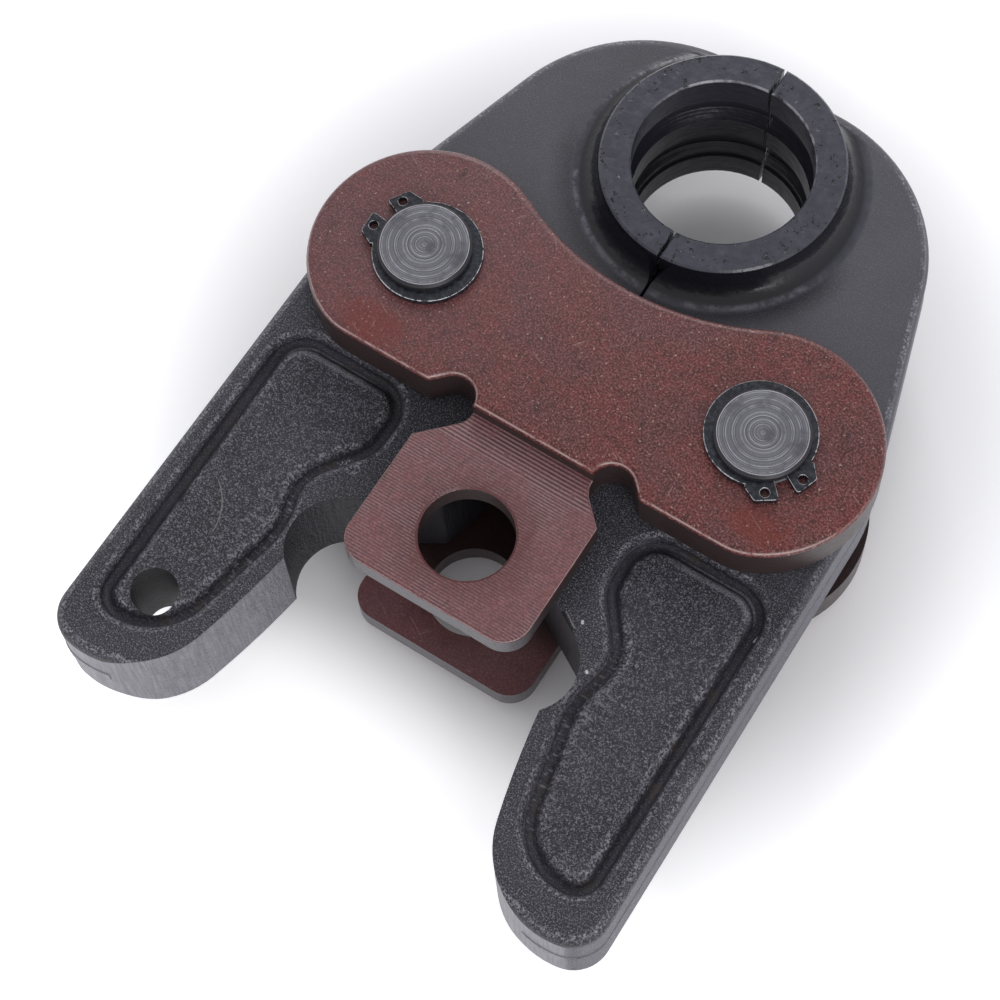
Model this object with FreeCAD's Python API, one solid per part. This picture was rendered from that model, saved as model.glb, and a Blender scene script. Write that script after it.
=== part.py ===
import FreeCAD, Part
import math
import os
from FreeCAD import Placement, Rotation, Vector

# Press fitting tool jaw, in millimetres.
# The origin is the middle of the tool pin bore, halfway between the two side plates.
# +Y points to the press ring at the nose, +X to the right arm, +Z out of the upper side plate.

# Pivots and the pins in them
pivot_x = 28.5
pivot_y = 33.2
pin_r = 7.0
pin_stands_out = 2.4
pin_chamfer = 0.4
pin_plate_clearance = 0.02
pin_jaw_clearance = 0.05

# Retaining rings on the ends of the pins
clip_thickness = 1.0
clip_groove_depth = 0.3
clip_groove_play = 0.05
clip_lift = 0.1
clip_band_r = 8.2
clip_band_shift = 0.55
clip_gap_half_deg = 8.0
clip_lug_r = 9.95
clip_lug_end_deg = 28.5
clip_lug_foot_deg = 40.0
clip_lug_corner_r = 0.5
clip_lug_hole_at_r = 8.6
clip_lug_hole_deg = 19.5
clip_lug_hole_r = 0.7
clip_rim_round = 0.12
clip_turn_left_deg = 165.0
clip_turn_right_deg = -38.0

# Side plates
plate_inner_z = 9.7
plate_thickness = 7.1
lobe_r = 17.6
waist_y = 43.8
plate_foot_inset = 0.7
plate_foot_corner_r = 10.0
plate_edge_round = 1.1
tail_half_width = 15.2
tail_thickness = 4.0
tail_end_y = -11.5
tail_corner_r = 4.2
tail_edge_round = 0.35
tool_pin_bore_r = 7.0
tool_pin_bore_break = 0.35
slot_r = 3.25
slot_left_x = -12.7
slot_right_x = 14.1
slot_below_foot = 0.2
slot_length = 20.0

# Jaws: body thickness, raised faces round the pivots, and the gap between the two jaws
jaw_half_thickness = 8.5
boss_half_thickness = 9.6
boss_r = 15.0
jaw_gap = 0.5
cast_edge_round = 1.8
cast_overhang = 2.0
parting_ridge_half_width = 0.9
parting_ridge_stands_out = 0.15

# Head of a jaw, round the press ring
head_arc_x = 9.1
head_arc_y = 62.7
head_arc_r = 27.2
head_flank_deg = 17.0
shoulder_round = 25.0

# Arm of a jaw, from the shoulder to the tip
arm_side_x = 45.8
arm_side_taper_deg = 0.6
arm_side_end_y = -36.05
tip_corner_r = 5.7
tip_corner_end_deg = 281.0
tip_r = 13.9
tip_cast_end_deg = 256.0
cam_start_deg = 195.5
cam_mid = Vector(23.1, -23.4, 0)
cusp = Vector(21.6, -15.2, 0)

# Roller recess above the cusp, and the slope that runs from it past the tool pin to the heel
recess_r = 7.8
recess_slope_deg = 30.4
tool_pin_clearance = 0.2
jaw_opens_deg = 15.0
open_jaw_gap = 0.6
heel_round = 1.2

# Recessed panel and the groove round it, on both faces of each arm
panel_depth = 0.55
groove_depth = 2.0
groove_floor_r = 0.8
# Slope of the groove's wall in degrees and radius of its lip, towards the rim and the panel
groove_rim_side = (76.0, 1.4)
groove_panel_side = (56.0, 2.2)
groove_lip_lift = 0.03
panel_side_x = 41.0
panel_top_y = 15.5
panel_foot_y = -34.4
panel_corners = [
    (panel_side_x, panel_top_y, 5.0),
    (panel_side_x, panel_foot_y, 3.3),
    (29.8, panel_foot_y, 9.4),
    (24.9, -11.8, 14.0),
    (27.1, -2.9, 6.7),
    (20.4, 5.7, 6.0),
    (20.2, panel_top_y, 5.0),
]
arm_hole_x = -34.7
arm_hole_y = -29.1
arm_hole_r = 3.5

# Press ring, one half on each jaw
ring_y = 70.6
ring_half_height = 13.7
ring_r = 18.65
ring_edge_break = 0.3
ring_root_r = 4.2
ring_root_draft = 0.6
ring_root_sinks = 0.5
land_r = 13.84
shoulder_r = 14.2
shoulder_width = 1.5
groove_r = 15.2
press_profile_half = 8.8
middle_land_half = 2.2
land_bevel = 2.0
shoulder_bevel = 0.8
split_chamfer = 0.22
mouth_break = 0.25

# Closing spring, seated in blind holes in the heels of the two jaws
spring_y = 20.0
spring_coil_r = 3.9
spring_wire_r = 0.65
spring_turns = 7
spring_end_play = 0.02
seat_clearance = 0.45
seat_depth = 9.5

# How far a cutting shape reaches past the face it cuts through
overcut = 1.0

pin_half_length = plate_inner_z + plate_thickness + pin_stands_out
plate_outer_z = plate_inner_z + plate_thickness
plate_foot_y = pivot_y - lobe_r + plate_foot_inset
half_gap = jaw_gap / 2
relief_start_x = pivot_x - (pivot_x - open_jaw_gap) / math.cos(math.radians(jaw_opens_deg))
up = Vector(0, 0, 1)
origin = Vector(0, 0, 0)


def polar(centre_x, centre_y, radius, degrees):
    """Point on a circle in the XY plane."""
    turn = math.radians(degrees)
    return Vector(centre_x + radius * math.cos(turn), centre_y + radius * math.sin(turn), 0)


def prism(edges, z_low, z_high):
    """Straight prism on a closed outline that is drawn at z = 0."""
    face = Part.Face(Part.Wire(edges))
    face.translate(Vector(0, 0, z_low))
    return face.extrude(Vector(0, 0, z_high - z_low))


def disc(centre_x, centre_y, radius, z_low, z_high):
    """Upright cylinder between two heights."""
    return Part.makeCylinder(radius, z_high - z_low, Vector(centre_x, centre_y, z_low), up)


def line(start, end):
    return Part.makeLine(start, end)


def arc(start, through, end):
    return Part.Arc(start, through, end).toShape()


def crossing(point_a, direction_a, point_b, direction_b):
    """Point where two straight lines in the XY plane meet."""
    spread = direction_a.x * direction_b.y - direction_a.y * direction_b.x
    offset = point_b - point_a
    along = (offset.x * direction_b.y - offset.y * direction_b.x) / spread
    return point_a + direction_a * along


def rounded_corner(before, corner, after, radius):
    """Arc that rounds a corner, as its start, middle and end."""
    to_before = (before - corner).normalize()
    to_after = (after - corner).normalize()
    half_turn = to_before.getAngle(to_after) / 2
    reach = radius / math.tan(half_turn)
    bisector = (to_before + to_after).normalize()
    centre = corner + bisector * (radius / math.sin(half_turn))
    return corner + to_before * reach, centre - bisector * radius, corner + to_after * reach


def rounded_edges(solid, radius, wanted):
    """Rounds the edges that the test picks, and leaves the others sharp."""
    edges = [edge for edge in solid.Edges if wanted(edge)]
    return solid.makeFillet(radius, edges)


def lies_at_height(edge, z):
    box = edge.BoundBox
    return abs(box.ZMin - z) < 1e-4 and abs(box.ZMax - z) < 1e-4


def tip_centre():
    """Centre of the large arc round the tip, which the small corner arc runs into."""
    return polar(arm_side_x - tip_corner_r, arm_side_end_y, tip_corner_r - tip_r, tip_corner_end_deg)


def cast_outline():
    """Outline as cast, before the middle, the heel and the cam flank are machined away."""
    nose_y = head_arc_y + head_arc_r
    nose_outer = Vector(head_arc_x, nose_y, 0)
    head_middle = polar(head_arc_x, head_arc_y, head_arc_r, (90 + head_flank_deg) / 2)
    head_end = polar(head_arc_x, head_arc_y, head_arc_r, head_flank_deg)
    flank = polar(0, 0, 1, head_flank_deg - 90)
    side = polar(0, 0, 1, arm_side_taper_deg - 90)
    side_end = Vector(arm_side_x, arm_side_end_y, 0)
    shoulder = crossing(head_end, flank, side_end, side)
    rounding = rounded_corner(head_end, shoulder, side_end, shoulder_round)
    corner_x = arm_side_x - tip_corner_r
    corner_middle = polar(corner_x, arm_side_end_y, tip_corner_r, (tip_corner_end_deg - 360) / 2)
    corner_end = polar(corner_x, arm_side_end_y, tip_corner_r, tip_corner_end_deg)
    tip = tip_centre()
    tip_middle = polar(tip.x, tip.y, tip_r, (tip_corner_end_deg + tip_cast_end_deg) / 2)
    tip_end = polar(tip.x, tip.y, tip_r, tip_cast_end_deg)
    rise = (tip_end.x + cast_overhang) / math.tan(math.radians(tip_cast_end_deg))
    foot = Vector(-cast_overhang, tip_end.y + rise, 0)
    top = Vector(-cast_overhang, nose_y, 0)
    return [
        line(top, nose_outer),
        arc(nose_outer, head_middle, head_end),
        line(head_end, rounding[0]),
        arc(*rounding),
        line(rounding[2], side_end),
        arc(side_end, corner_middle, corner_end),
        arc(corner_end, tip_middle, tip_end),
        line(tip_end, foot),
        line(foot, top),
    ]


def recess_centre():
    """Centre of the arc that leaves the cusp and runs smoothly into the slope past the tool pin."""
    turn = math.radians(recess_slope_deg)
    slope = Vector(-math.cos(turn), math.sin(turn), 0)
    outward = Vector(math.sin(turn), math.cos(turn), 0)
    inset = tool_pin_bore_r + tool_pin_clearance - recess_r - cusp.dot(outward)
    return cusp + outward * inset + slope * math.sqrt(recess_r ** 2 - inset ** 2)


def machining_cut():
    """What is machined off the right jaw: round the tip, up the cam flank, the heel and the split."""
    tip = tip_centre()
    tip_start = polar(tip.x, tip.y, tip_r, tip_cast_end_deg)
    tip_middle = polar(tip.x, tip.y, tip_r, (cam_start_deg + tip_cast_end_deg) / 2)
    cam_start = polar(tip.x, tip.y, tip_r, cam_start_deg)

    slope = Vector(-math.cos(math.radians(recess_slope_deg)), math.sin(math.radians(recess_slope_deg)), 0)
    recess = recess_centre()
    recess_outer = Vector(recess.x + recess_r, recess.y, 0)
    recess_end = polar(recess.x, recess.y, recess_r, 90 - recess_slope_deg)

    swing = math.radians(jaw_opens_deg)
    relief_top = Vector(half_gap, pivot_y - (half_gap - relief_start_x) / math.tan(swing), 0)
    relief = Vector(math.sin(swing), -math.cos(swing), 0)
    heel = crossing(recess_end, slope, relief_top, relief)
    heel_start, heel_middle, heel_end = rounded_corner(recess_end, heel, relief_top, heel_round)

    left = -(ring_r + ring_root_r + overcut)
    above = head_arc_y + head_arc_r + parting_ridge_stands_out + overcut
    below = tip.y - tip_r - overcut
    split_top = Vector(half_gap, above, 0)
    outer_top = Vector(left, above, 0)
    outer_foot = Vector(left, below, 0)
    tip_foot = Vector(tip_start.x, below, 0)
    height = ring_half_height + overcut
    return prism([
        arc(tip_start, tip_middle, cam_start),
        arc(cam_start, cam_mid, cusp),
        arc(cusp, recess_outer, recess_end),
        line(recess_end, heel_start),
        arc(heel_start, heel_middle, heel_end),
        line(heel_end, relief_top),
        line(relief_top, split_top),
        line(split_top, outer_top),
        line(outer_top, outer_foot),
        line(outer_foot, tip_foot),
        line(tip_foot, tip_start),
    ], -height, height)


def panel_outline():
    """Middle line of the groove round the arm's panel, from its upper outer corner down the side."""
    points = [Vector(x, y, 0) for x, y, _ in panel_corners]
    following = points[1:] + points[:1]
    roundings = []
    for index, (_, _, radius) in enumerate(panel_corners):
        roundings.append(rounded_corner(points[index - 1], points[index], following[index], radius))
    edges = []
    for here, there in zip(roundings, roundings[1:] + roundings[:1]):
        edges.append(line(here[2], there[0]))
        edges.append(arc(*there))
    return edges


def groove_section(start):
    """Section of the groove where its side begins: round floor, sloping walls and two rounded lips."""
    floor = jaw_half_thickness - groove_depth
    open_z = jaw_half_thickness + overcut
    sides = []
    for side, drop, (wall_deg, lip_r) in ((1, 0, groove_rim_side), (-1, panel_depth, groove_panel_side)):
        wall = math.radians(wall_deg)
        foot_out = groove_floor_r * math.sin(wall)
        foot_z = floor + groove_floor_r * (1 - math.cos(wall))
        lip_z = jaw_half_thickness + groove_lip_lift - drop - lip_r
        wall_top_z = lip_z + lip_r * math.cos(wall)
        wall_top_out = foot_out + (wall_top_z - foot_z) / math.tan(wall)
        lip_out = wall_top_out + lip_r * math.sin(wall)
        middle_out = lip_out - lip_r * math.sin(wall / 2)
        middle_z = lip_z + lip_r * math.cos(wall / 2)
        places = (
            (foot_out, foot_z),
            (wall_top_out, wall_top_z),
            (middle_out, middle_z),
            (lip_out, lip_z + lip_r),
            (lip_out, open_z),
        )
        sides.append([Vector(start.x + side * out, start.y, z) for out, z in places])
    outer, inner = sides
    return Part.Wire([
        arc(inner[0], Vector(start.x, start.y, floor), outer[0]),
        line(outer[0], outer[1]),
        arc(outer[1], outer[2], outer[3]),
        line(outer[3], outer[4]),
        line(outer[4], inner[4]),
        line(inner[4], inner[3]),
        arc(inner[3], inner[2], inner[1]),
        line(inner[1], inner[0]),
    ])


def make_arm_block():
    """Cast block of the right jaw, with the recessed panel and its groove on both faces."""
    top = jaw_half_thickness
    block = prism(cast_outline(), -top, top)
    for height in (top, -top):
        block = rounded_edges(block, cast_edge_round, lambda edge: lies_at_height(edge, height))
    outline = panel_outline()
    panel = prism(outline, top - panel_depth, top + overcut)
    section = groove_section(outline[0].firstVertex().Point)
    groove = Part.Wire(outline).makePipeShell([section], True, False)
    for cutter in (panel, groove):
        block = block.cut(cutter).cut(cutter.mirror(origin, up))
    return block


def parting_ridge():
    """Low ridge that the closing line of the forging dies leaves round the outside of the jaw."""
    outline = Part.Wire(cast_outline()).makeOffset2D(parting_ridge_stands_out)
    return prism(outline.Edges, -parting_ridge_half_width, parting_ridge_half_width)


def press_ring():
    """Full press ring, with the corner broken round both faces."""
    top = ring_half_height
    ring = disc(0, ring_y, ring_r, -top, top)
    rims = [edge for edge in ring.Edges if lies_at_height(edge, top) or lies_at_height(edge, -top)]
    return ring.makeChamfer(ring_edge_break, rims)


def ring_root():
    """Rounded root where the ring meets the head's upper face, kept inside the head's own edge.

    A low ring gets a smaller root, which ends under the broken corner of its wall.
    """
    face_z = jaw_half_thickness
    root_r = min(ring_root_r, ring_half_height - ring_edge_break - face_z)
    low = face_z - ring_root_sinks
    root_top = face_z + root_r
    root_out = ring_r + root_r
    diagonal = root_r * (1 - math.sqrt(0.5))
    inside = Vector(ring_r - ring_root_sinks, 0, low)
    outside = Vector(root_out, 0, low)
    rim = Vector(root_out, 0, face_z)
    middle = Vector(ring_r + diagonal, 0, face_z + diagonal)
    wall = Vector(ring_r, 0, root_top)
    wall_inside = Vector(ring_r - ring_root_sinks, 0, root_top)
    profile = Part.Face(Part.Wire([line(inside, outside), line(outside, rim), arc(rim, middle, wall),
                                   line(wall, wall_inside), line(wall_inside, inside)]))
    root = profile.revolve(origin, up, 360)
    root.translate(Vector(0, ring_y, 0))
    outline = Part.Wire(cast_outline())
    edge_low = outline.makeOffset2D(-cast_edge_round)
    edge_low.translate(Vector(0, 0, low))
    edge_high = outline.makeOffset2D(-cast_edge_round - root_r * ring_root_draft)
    edge_high.translate(Vector(0, 0, root_top))
    return root.common(Part.makeLoft([edge_low, edge_high], True, True))


def press_bore():
    """Stepped bore: a land in the middle, a bevelled groove on each side of it, and a land at each mouth.

    The profile keeps its place from the middle plane, and the lands at the mouths take up what is left.
    """
    top = ring_half_height
    bore = disc(0, ring_y, land_r, -top - overcut, top + overcut)
    groove_top = press_profile_half
    for side in (1, -1):
        steps = [
            Vector(0, 0, side * middle_land_half),
            Vector(land_r, 0, side * middle_land_half),
            Vector(groove_r, 0, side * (middle_land_half + land_bevel)),
            Vector(groove_r, 0, side * (groove_top - shoulder_width - shoulder_bevel)),
            Vector(shoulder_r, 0, side * (groove_top - shoulder_width)),
            Vector(shoulder_r, 0, side * groove_top),
            Vector(0, 0, side * groove_top),
        ]
        profile = Part.Face(Part.makePolygon(steps + steps[:1]))
        groove = profile.revolve(origin, up, 360)
        groove.translate(Vector(0, ring_y, 0))
        bore = bore.fuse(groove)
        start = Vector(0, ring_y, side * (top - mouth_break))
        reach = land_r + mouth_break + overcut
        bore = bore.fuse(Part.makeCone(land_r, reach, mouth_break + overcut, start, Vector(0, 0, side)))
    return bore


def split_corner_cut():
    """Wedge along the split that takes the sharp corner off the top of the ring's right half."""
    top = ring_half_height
    out = split_chamfer + overcut
    start_y = ring_y - ring_r - overcut
    corners = [
        Vector(half_gap + out, start_y, top + overcut),
        Vector(half_gap - overcut, start_y, top - out),
        Vector(half_gap - overcut, start_y, top + overcut),
    ]
    wedge = Part.Face(Part.makePolygon(corners + corners[:1]))
    return wedge.extrude(Vector(0, 2 * (ring_r + overcut), 0))


def spring_seat():
    """Blind hole in the right jaw's heel for one end of the closing spring."""
    seat_r = spring_coil_r + spring_wire_r + seat_clearance
    floor_x = spring_half_length()
    return Part.makeCylinder(seat_r, floor_x, Vector(0, spring_y, 0), Vector(1, 0, 0))


def spring_half_length():
    """Distance from the middle plane to the floor of a spring seat."""
    heel_x = relief_start_x + (pivot_y - spring_y) * math.tan(math.radians(jaw_opens_deg))
    return heel_x + seat_depth


def make_right_jaw():
    """Forged jaw: head with half the press ring, pivot boss, and arm with its cam flank."""
    height = ring_half_height + overcut
    root = ring_root()
    jaw = make_arm_block().fuse(parting_ridge())
    jaw = jaw.fuse(press_ring()).fuse(root).fuse(root.mirror(origin, up))
    jaw = jaw.cut(machining_cut())
    jaw = jaw.fuse(disc(pivot_x, pivot_y, boss_r, -boss_half_thickness, boss_half_thickness))
    jaw = jaw.cut(press_bore())
    jaw = jaw.cut(disc(pivot_x, pivot_y, pin_r + pin_jaw_clearance, -height, height))
    jaw = jaw.cut(spring_seat())
    split = split_corner_cut()
    jaw = jaw.cut(split).cut(split.mirror(origin, up))
    return jaw.removeSplitter()


def make_left_jaw(right_jaw):
    """Mirror of the right jaw, with one round hole through the end of its arm."""
    jaw = right_jaw.mirror(origin, Vector(1, 0, 0))
    reach = jaw_half_thickness + overcut
    return jaw.cut(disc(arm_hole_x, arm_hole_y, arm_hole_r, -reach, reach))


def plate_body_outline():
    """Two lobes round the pins, a waist towards the ring and a straight foot."""
    rise = waist_y - pivot_y
    waist_centre_rise = (pivot_x ** 2 - (lobe_r - rise) ** 2) / (2 * (lobe_r - rise))
    waist_centre = Vector(0, pivot_y + waist_centre_rise, 0)
    waist_r = waist_centre_rise - rise
    lobe = Vector(pivot_x, pivot_y, 0)
    towards = (waist_centre - lobe).normalize()
    meets_right = lobe + towards * lobe_r
    meets_left = Vector(-meets_right.x, meets_right.y, 0)
    foot_reach = math.sqrt(lobe_r ** 2 - (pivot_y - plate_foot_y) ** 2)
    foot_right = Vector(pivot_x + foot_reach, plate_foot_y, 0)
    foot_left = Vector(-foot_right.x, plate_foot_y, 0)
    waist_middle = waist_centre - Vector(0, waist_r, 0)
    return [
        arc(meets_left, waist_middle, meets_right),
        arc(meets_right, Vector(pivot_x + lobe_r, pivot_y, 0), foot_right),
        line(foot_right, foot_left),
        arc(foot_left, Vector(-pivot_x - lobe_r, pivot_y, 0), meets_left),
    ]


def tail_outline():
    """Rectangle with two rounded corners at its free end, reaching into the plate's body."""
    root_right = Vector(tail_half_width, pivot_y, 0)
    root_left = Vector(-tail_half_width, pivot_y, 0)
    end_right = Vector(tail_half_width, tail_end_y, 0)
    end_left = Vector(-tail_half_width, tail_end_y, 0)
    right = rounded_corner(root_right, end_right, end_left, tail_corner_r)
    left = rounded_corner(end_right, end_left, root_left, tail_corner_r)
    return [
        line(root_left, root_right),
        line(root_right, right[0]),
        arc(*right),
        line(right[2], left[0]),
        arc(*left),
        line(left[2], root_left),
    ]


def relief_slot(centre_x, side):
    """Round-ended slot, cut at 45 degrees into the corner between foot and tail."""
    depth_low = plate_inner_z - overcut
    depth_high = plate_outer_z + overcut
    slot = disc(0, 0, slot_r, depth_low, depth_high)
    channel = Part.makeBox(slot_length, 2 * slot_r, depth_high - depth_low, Vector(0, -slot_r, depth_low))
    slot = slot.fuse(channel)
    slot.rotate(origin, up, -45 if side > 0 else -135)
    slot.translate(Vector(centre_x, plate_foot_y - slot_below_foot, 0))
    return slot


def stands_at_foot(edge):
    """Upright edge where a lobe meets the plate's foot."""
    box = edge.BoundBox
    return box.ZLength > plate_thickness / 2 and abs(box.YMax - plate_foot_y) < 1e-3 and box.XLength < 1e-3


def make_upper_side_plate():
    """Machined plate: thick body over the pins, thinner tail with the tool pin bore."""
    body = prism(plate_body_outline(), plate_inner_z, plate_outer_z)
    body = rounded_edges(body, plate_foot_corner_r, stands_at_foot)
    tail = prism(tail_outline(), plate_inner_z, plate_inner_z + tail_thickness)
    plate = body.fuse(tail).removeSplitter()
    plate = plate.cut(relief_slot(slot_left_x, -1))
    plate = plate.cut(relief_slot(slot_right_x, 1))
    plate = rounded_edges(plate, plate_edge_round, lambda edge: lies_at_height(edge, plate_outer_z))
    tail_top = plate_inner_z + tail_thickness
    tail_free_y = plate_foot_y - tail_edge_round / 2

    def tail_edge(edge):
        return lies_at_height(edge, tail_top) and edge.BoundBox.YMax < tail_free_y

    plate = rounded_edges(plate, tail_edge_round, tail_edge)
    for side in (-1, 1):
        pin_bore = disc(side * pivot_x, pivot_y, pin_r + pin_plate_clearance,
                        plate_inner_z - overcut, plate_outer_z + overcut)
        plate = plate.cut(pin_bore)
    plate = plate.cut(disc(0, 0, tool_pin_bore_r, plate_inner_z - overcut, tail_top + overcut))
    mouth = Part.makeCone(tool_pin_bore_r, tool_pin_bore_r + tool_pin_bore_break, tool_pin_bore_break,
                          Vector(0, 0, tail_top - tool_pin_bore_break), up)
    return plate.cut(mouth)


def turned_over(shape):
    """The same piece turned over about the Y axis."""
    other = shape.copy()
    other.rotate(origin, Vector(0, 1, 0), 180)
    return other


def make_pivot_pin(side):
    """Turned pin with a groove for a retaining ring near each end."""
    x = side * pivot_x
    pin = disc(x, pivot_y, pin_r, -pin_half_length, pin_half_length)
    ends = [edge for edge in pin.Edges if lies_at_height(edge, pin_half_length)
            or lies_at_height(edge, -pin_half_length)]
    pin = pin.makeChamfer(pin_chamfer, ends)
    groove_low = plate_outer_z + clip_lift - clip_groove_play
    groove_high = plate_outer_z + clip_lift + clip_thickness + clip_groove_play
    tube = disc(x, pivot_y, pin_r + overcut, groove_low, groove_high)
    tube = tube.cut(disc(x, pivot_y, pin_r - clip_groove_depth, groove_low, groove_high))
    return pin.cut(tube).cut(tube.mirror(origin, up))


def clip_lug(low, high):
    """Lug beside the ring's gap: square end, a slanting back that runs into the band, and a round hole."""
    gap_foot = polar(0, 0, pin_r, clip_gap_half_deg)
    gap_end = polar(0, 0, clip_lug_r, clip_gap_half_deg)
    back_end = polar(0, 0, clip_lug_r, clip_lug_end_deg)
    back_foot = polar(0, 0, clip_band_r, clip_lug_foot_deg)
    band_foot = polar(0, 0, pin_r, clip_lug_foot_deg)
    corners = [gap_foot, gap_end, back_end, back_foot, band_foot]
    lug = Part.Face(Part.makePolygon(corners + corners[:1]))
    lug.translate(Vector(0, 0, low))
    lug = lug.extrude(Vector(0, 0, high - low))

    def outer_corner(edge):
        box = edge.BoundBox
        upright = box.ZLength > clip_thickness / 2
        return upright and math.hypot(box.XMax, box.YMax) > clip_lug_r - clip_lug_corner_r

    lug = rounded_edges(lug, clip_lug_corner_r, outer_corner)
    hole = polar(0, 0, clip_lug_hole_at_r, clip_lug_hole_deg)
    return lug.cut(disc(hole.x, hole.y, clip_lug_hole_r, low - overcut, high + overcut))


def make_retaining_ring(side, turn_deg):
    """External retaining ring: a band that is widest opposite its gap, and two lugs with holes."""
    low = plate_outer_z + clip_lift
    high = low + clip_thickness
    bore_r = pin_r - clip_groove_depth + pin_plate_clearance
    band = disc(-clip_band_shift, 0, clip_band_r, low, high)
    opening_r = 2 * clip_band_r
    gap = [
        line(origin, polar(0, 0, opening_r, -clip_gap_half_deg)),
        line(polar(0, 0, opening_r, -clip_gap_half_deg), polar(0, 0, opening_r, clip_gap_half_deg)),
        line(polar(0, 0, opening_r, clip_gap_half_deg), origin),
    ]
    band = band.cut(prism(gap, low - overcut, high + overcut))
    lug = clip_lug(low, high)
    for half in (lug, lug.mirror(origin, Vector(0, 1, 0))):
        band = band.fuse(half)
    band = band.cut(disc(0, 0, bore_r, low - overcut, high + overcut))
    band = rounded_edges(band.removeSplitter(), clip_rim_round, lambda edge: lies_at_height(edge, high))
    band.Placement = Placement(Vector(side * pivot_x, pivot_y, 0), Rotation(up, turn_deg))
    return band


def make_closing_spring():
    """Helical compression spring along X, pressing the two heels apart."""
    half = spring_half_length() - spring_wire_r - spring_end_play
    pitch = 2 * half / spring_turns
    helix = Part.makeHelix(pitch, 2 * half, spring_coil_r)
    section = Part.Wire(Part.makeCircle(spring_wire_r, Vector(spring_coil_r, 0, 0), Vector(0, 1, 0)))
    coil = Part.Wire(helix.Edges).makePipeShell([section], True, True)
    coil.rotate(origin, Vector(0, 1, 0), 90)
    coil.translate(Vector(-half, spring_y, 0))
    return coil


def write(name, shape):
    shape.exportStep("parts/" + name + ".step")


os.makedirs("parts", exist_ok=True)
right_jaw = make_right_jaw()
write("right_jaw", right_jaw)
write("left_jaw", make_left_jaw(right_jaw))
upper_plate = make_upper_side_plate()
write("upper_side_plate", upper_plate)
write("lower_side_plate", turned_over(upper_plate))
for pin_name, pin_side, turn in (("left", -1, clip_turn_left_deg), ("right", 1, clip_turn_right_deg)):
    write(pin_name + "_pivot_pin", make_pivot_pin(pin_side))
    retaining_ring = make_retaining_ring(pin_side, turn)
    write("upper_" + pin_name + "_retaining_ring", retaining_ring)
    write("lower_" + pin_name + "_retaining_ring", retaining_ring.mirror(origin, up))
write("closing_spring", make_closing_spring())
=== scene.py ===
import math
from types import SimpleNamespace

import bmesh
import bpy
from mathutils import Euler, Matrix, Vector


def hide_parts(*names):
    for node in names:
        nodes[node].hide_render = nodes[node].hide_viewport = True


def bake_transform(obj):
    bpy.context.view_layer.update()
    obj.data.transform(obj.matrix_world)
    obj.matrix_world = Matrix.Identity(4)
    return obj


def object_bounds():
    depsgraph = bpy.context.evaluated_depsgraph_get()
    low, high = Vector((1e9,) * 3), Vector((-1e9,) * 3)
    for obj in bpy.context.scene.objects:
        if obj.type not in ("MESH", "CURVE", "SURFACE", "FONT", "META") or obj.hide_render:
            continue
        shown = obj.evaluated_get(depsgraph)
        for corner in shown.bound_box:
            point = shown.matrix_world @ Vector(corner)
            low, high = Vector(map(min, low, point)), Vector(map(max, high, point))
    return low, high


# Press fitting tool jaw, in metres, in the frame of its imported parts. The origin is the middle of the
# tool pin bore, +Y points to the press ring at the nose and +Z out of the upper side plate. Inside the
# materials a place is counted in millimetres, from there or from a centre that is named.

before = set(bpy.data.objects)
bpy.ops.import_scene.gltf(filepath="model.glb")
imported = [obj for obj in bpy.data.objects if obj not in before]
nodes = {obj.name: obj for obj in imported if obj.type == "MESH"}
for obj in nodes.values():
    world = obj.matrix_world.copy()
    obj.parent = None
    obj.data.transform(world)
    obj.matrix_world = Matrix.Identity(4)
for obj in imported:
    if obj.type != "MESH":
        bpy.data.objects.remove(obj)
cad_low, cad_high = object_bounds()


# The two jaws are forged steel, blackened all over, with a fine cast grain on their faces. The press
# ring is turned and oily, and the cam flanks inside the arms and round their tips are ground bright.

def new_finish(name):
    """A material with its node tree and its shader."""
    material = bpy.data.materials.new(name)
    material.use_nodes = True
    return material, material.node_tree, material.node_tree.nodes["Principled BSDF"]


def dress(piece, material):
    """Give a piece one material in place of those it came with."""
    piece.data.materials.clear()
    piece.data.materials.append(material)


def node(tree, kind, inputs=None, **settings):
    """One shader node. An input is a value, or the output that feeds it."""
    made = tree.nodes.new("ShaderNode" + kind)
    for setting, value in settings.items():
        setattr(made, setting, value)
    for name, value in (inputs or {}).items():
        if isinstance(value, bpy.types.NodeSocket):
            tree.links.new(value, made.inputs[name])
        else:
            made.inputs[name].default_value = value
    return made


def maths(tree, operation, first, second=0.0, clamp=False):
    """Arithmetic on two values or outputs."""
    return node(tree, "Math", {0: first, 1: second}, operation=operation, use_clamp=clamp).outputs[0]


def overlap(tree, first, *others):
    """Product of shares: 1 only where all of them are 1."""
    for other in others:
        first = maths(tree, "MULTIPLY", first, other)
    return first


def inverse(tree, share):
    """What a share leaves of 1."""
    return maths(tree, "SUBTRACT", 1.0, share)


def fade(tree, value, start, end):
    """0 where the value is at start, 1 where it is at end, smooth between them."""
    inputs = {"Value": value, "From Min": start, "From Max": end}
    return node(tree, "MapRange", inputs, interpolation_type="SMOOTHSTEP").outputs["Result"]


def blend_value(tree, share, first, second):
    """Second value in place of the first, as far as the share says."""
    return node(tree, "Mix", {"Factor": share, "A": first, "B": second}).outputs["Result"]


def blend_colour(tree, share, first, second):
    """Second colour over the first, as far as the share says."""
    made = node(tree, "Mix", data_type="RGBA")
    for socket, value in ((made.inputs["Factor"], share), (made.inputs[6], first), (made.inputs[7], second)):
        if isinstance(value, bpy.types.NodeSocket):
            tree.links.new(value, socket)
        elif isinstance(value, tuple):
            socket.default_value = (*value, 1.0)
        else:
            socket.default_value = value
    return made.outputs[2]


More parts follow.
